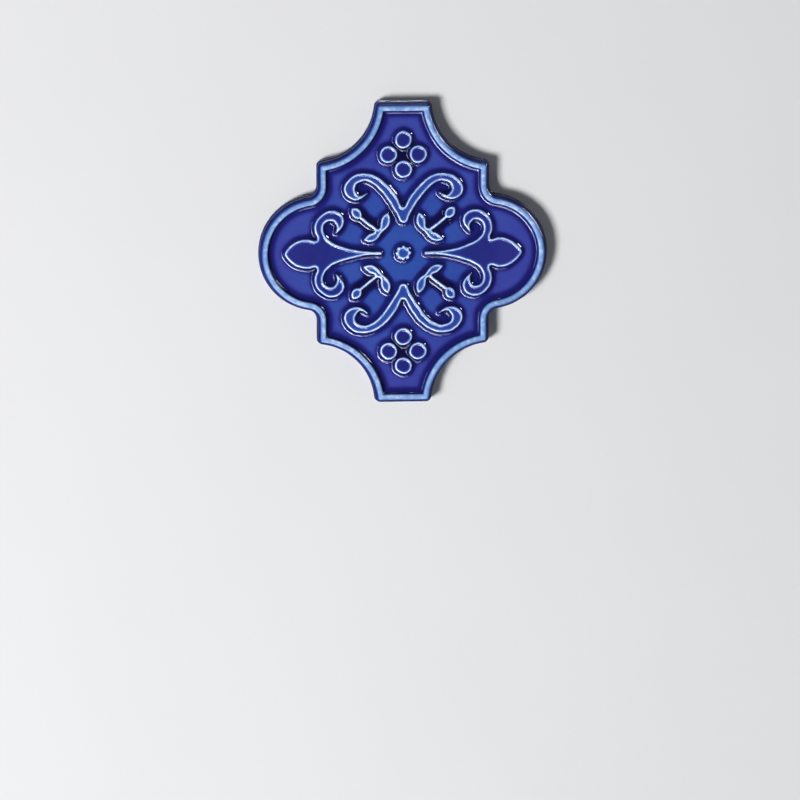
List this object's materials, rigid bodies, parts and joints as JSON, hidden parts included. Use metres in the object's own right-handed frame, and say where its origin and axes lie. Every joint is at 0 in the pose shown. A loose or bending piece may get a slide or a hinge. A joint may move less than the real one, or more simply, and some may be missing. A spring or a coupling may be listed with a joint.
{
  "type": "ceramic tile",
  "caption": "Lantern-shaped relief wall tile in cobalt-blue glaze, with a raised rim, scroll and lily ornament and a flat back for bedding in adhesive.",
  "frame": {"origin": "middle of the flat back, in the plane that the tile rests on", "axes": "+Z out of the glazed face, X across the two round lobes, Y along the two necks"},
  "size_m": [0.1426, 0.1504, 0.01],
  "materials": {
    "glaze": "deep cobalt-blue translucent glaze, glossy, pale where thin on raised edges and navy where pooled; the flat back is bare pale fired clay"
  },
  "bodies": {
    "root": {"tile_body": "glaze"}
  },
  "joints": []
}
